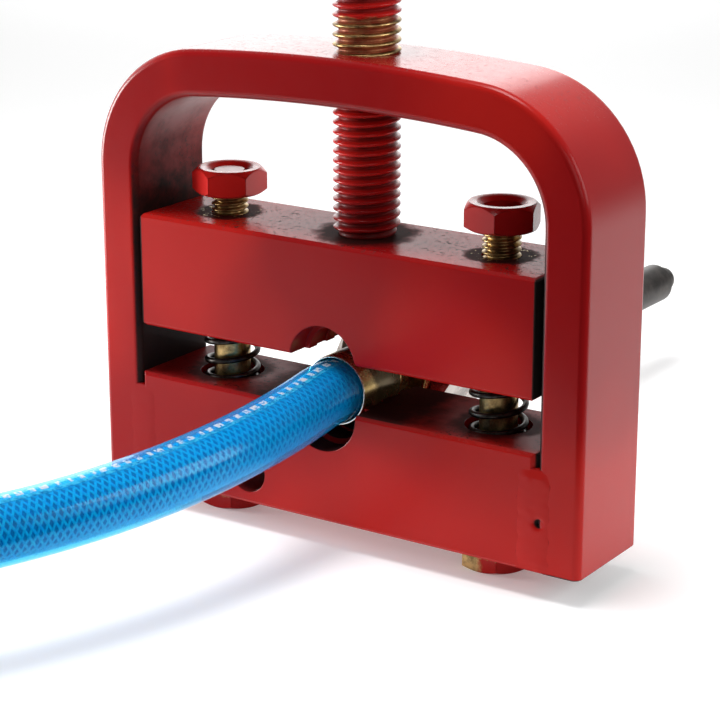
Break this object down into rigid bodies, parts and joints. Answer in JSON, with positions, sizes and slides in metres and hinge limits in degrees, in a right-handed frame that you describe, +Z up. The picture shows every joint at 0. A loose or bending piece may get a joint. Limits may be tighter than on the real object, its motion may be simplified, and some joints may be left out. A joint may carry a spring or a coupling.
{
  "type": "hydraulic hose assembly",
  "caption": "Hand screw press crimping the ferrule of a braided hose that ends in a threaded tube fitting",
  "frame": {"origin": "middle of the lower jaw's underside", "axes": "+Z up along the press screw, +X along the jaws, +Y along the die from the hose side to the fitting side"},
  "size_m": [0.12, 0.2603, 0.1352],
  "materials": {
    "enamel": "gloss",
    "yellow_zinc": "satin",
    "spring_wire": "satin",
    "clear_blue_pvc": "gloss",
    "braid": "satin",
    "blue_pvc": "gloss",
    "brass": "satin",
    "dark_steel": "satin",
    "nickel": "gloss"
  },
  "bodies": {
    "press_body": {"frame": "enamel", "lower_jaw": "enamel", "weld_left": "enamel", "weld_right": "enamel", "guide_bolt_left": "yellow_zinc", "guide_bolt_right": "yellow_zinc", "spring_left": "spring_wire", "spring_right": "spring_wire"},
    "upper_jaw": {"upper_jaw": "enamel"},
    "press_screw": {"press_screw": "enamel"},
    "stop_nut_left": {"stop_nut_left": "enamel"},
    "stop_nut_right": {"stop_nut_right": "enamel"},
    "hose_assembly": {"hose_cover": "clear_blue_pvc", "hose_braid": "braid", "hose_liner": "blue_pvc", "ferrule": "brass", "hose_stem": "brass", "cutting_ring": "dark_steel", "tail_tube": "dark_steel"},
    "union_nut": {"union_nut": "nickel"}
  },
  "joints": [
    {"name": "jaw_slide", "type": "slide", "parent": "press_body", "child": "upper_jaw", "axis": [0, 0, 1], "range_m": [-0.0049, 0.0042], "deforming": ["spring_left", "spring_right"]},
    {"name": "screw_turn", "type": "hinge", "parent": "upper_jaw", "child": "press_screw", "pos_m": [0.0015, 0, 0.0607], "axis": [0, 0, 1], "range_deg": [-880, 750]},
    {"name": "stop_nut_left_turn", "type": "hinge", "parent": "press_body", "child": "stop_nut_left", "pos_m": [-0.0339, 0, 0.0678], "axis": [0, 0, 1], "range_deg": [-180, 180]},
    {"name": "stop_nut_right_turn", "type": "hinge", "parent": "press_body", "child": "stop_nut_right", "pos_m": [0.0339, 0, 0.069], "axis": [0, 0, 1], "range_deg": [-180, 180]},
    {"name": "hose_feed", "type": "slide", "parent": "press_body", "child": "hose_assembly", "axis": [0, 1, 0], "range_m": [-0.0009, 0.01]},
    {"name": "union_nut_spin", "type": "hinge", "parent": "hose_assembly", "child": "union_nut", "pos_m": [-0.0014, 0.022, 0.02786], "axis": [0, 1, 0], "continuous": true}
  ],
  "couplings": [
    {"joint": "jaw_slide", "follows": "screw_turn", "m_per_rad": 0.00031831}
  ]
}
